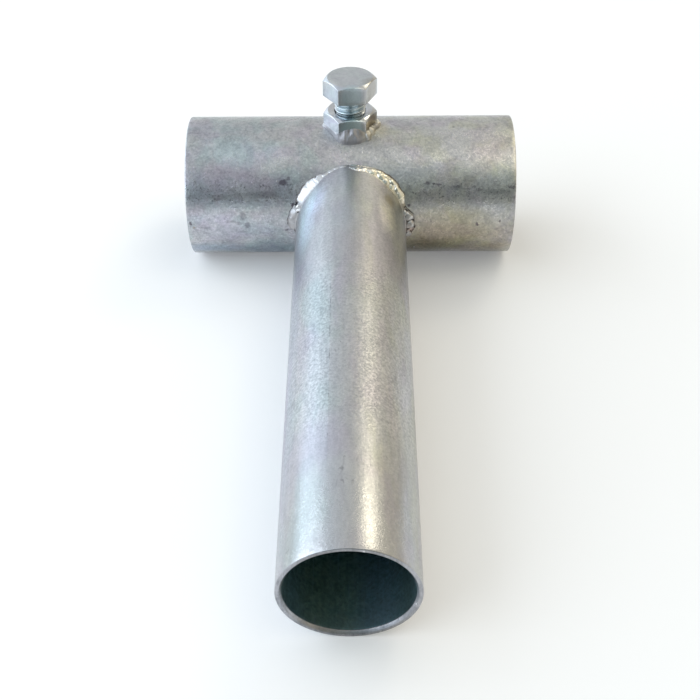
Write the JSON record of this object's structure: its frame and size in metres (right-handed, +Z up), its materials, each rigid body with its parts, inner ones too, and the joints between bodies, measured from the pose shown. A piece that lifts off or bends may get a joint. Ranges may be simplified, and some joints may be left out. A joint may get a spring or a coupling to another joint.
{
  "type": "tent frame end fitting",
  "caption": "Welded slip tee for a tube-framed tent: a cross sleeve with a hex clamp bolt slides along a pole, and a spigot tube welded square to it plugs into another pole.",
  "frame": {"origin": "where the sleeve's axis and the spigot's axis cross, at the middle of the sleeve's length", "axes": "+X along the sleeve's bore, -Y along the spigot towards its open end, +Z up through the clamp bolt's side"},
  "size_m": [0.1334, 0.2376, 0.0789],
  "materials": {
    "galvanised": "galvanised, satin and mottled",
    "weld": "galvanised weld bead, lumpy and shiny",
    "bright_zinc": "bright zinc plate"
  },
  "bodies": {
    "fitting": {"sleeve_tube": "galvanised", "spigot_tube": "galvanised", "spigot_weld": "weld", "clamp_nut": "bright_zinc", "nut_weld": "weld"},
    "bolt": {"clamp_bolt": "bright_zinc"}
  },
  "joints": [
    {"name": "bolt_travel", "type": "slide", "parent": "fitting", "child": "bolt", "axis": [0, 0.061, 0.9981], "range_m": [-0.0063, 0.007]}
  ]
}
